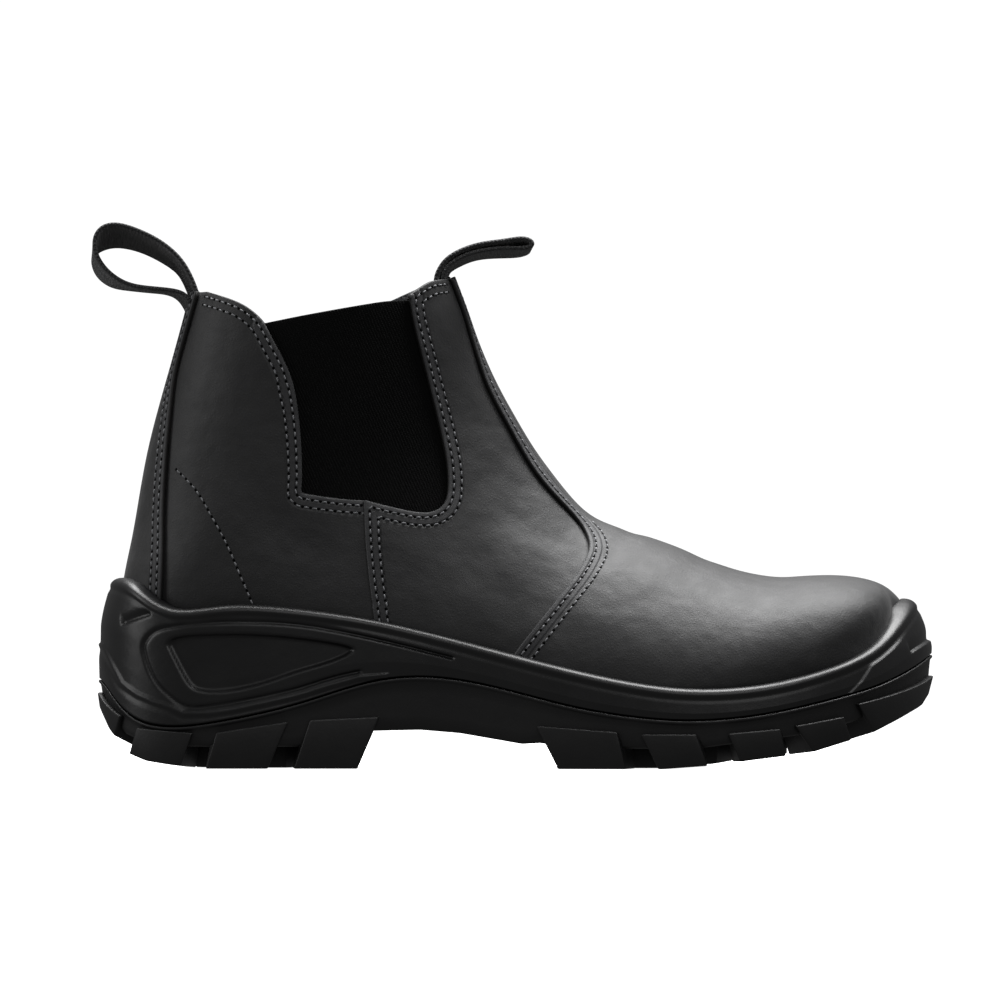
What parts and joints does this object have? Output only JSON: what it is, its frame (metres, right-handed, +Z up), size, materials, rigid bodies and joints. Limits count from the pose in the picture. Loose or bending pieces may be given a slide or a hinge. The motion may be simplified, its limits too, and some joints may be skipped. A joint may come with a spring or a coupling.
{
  "type": "side gore work boot",
  "caption": "Right-foot pull-on leather work boot with elastic side gores, webbing pull loops at the front and back, and a cleated two-layer sole.",
  "frame": {"origin": "centre of the bounding box on the floor plane under the tread", "axes": "+X towards the toe, +Y towards the inner side of this right boot, +Z up"},
  "size_m": [0.307, 0.1164, 0.1988],
  "materials": {
    "black_leather": "smooth grain leather with a soft sheen",
    "elastic_gore": "matt ribbed elastic",
    "webbing": "woven polyester tape",
    "midsole_foam": "moulded polyurethane, satin",
    "outsole_compound": "moulded dense polyurethane, matt",
    "insole_board": "felt board"
  },
  "bodies": {
    "root": {"outsole": "outsole_compound", "midsole": "midsole_foam", "insole": "insole_board", "upper": "black_leather", "vamp": "black_leather", "backstay": "black_leather", "gore_outer": "elastic_gore", "gore_inner": "elastic_gore", "side_seam_outer": "black_leather", "side_seam_inner": "black_leather", "pull_loop_back": "webbing", "pull_loop_front": "webbing"}
  },
  "joints": []
}
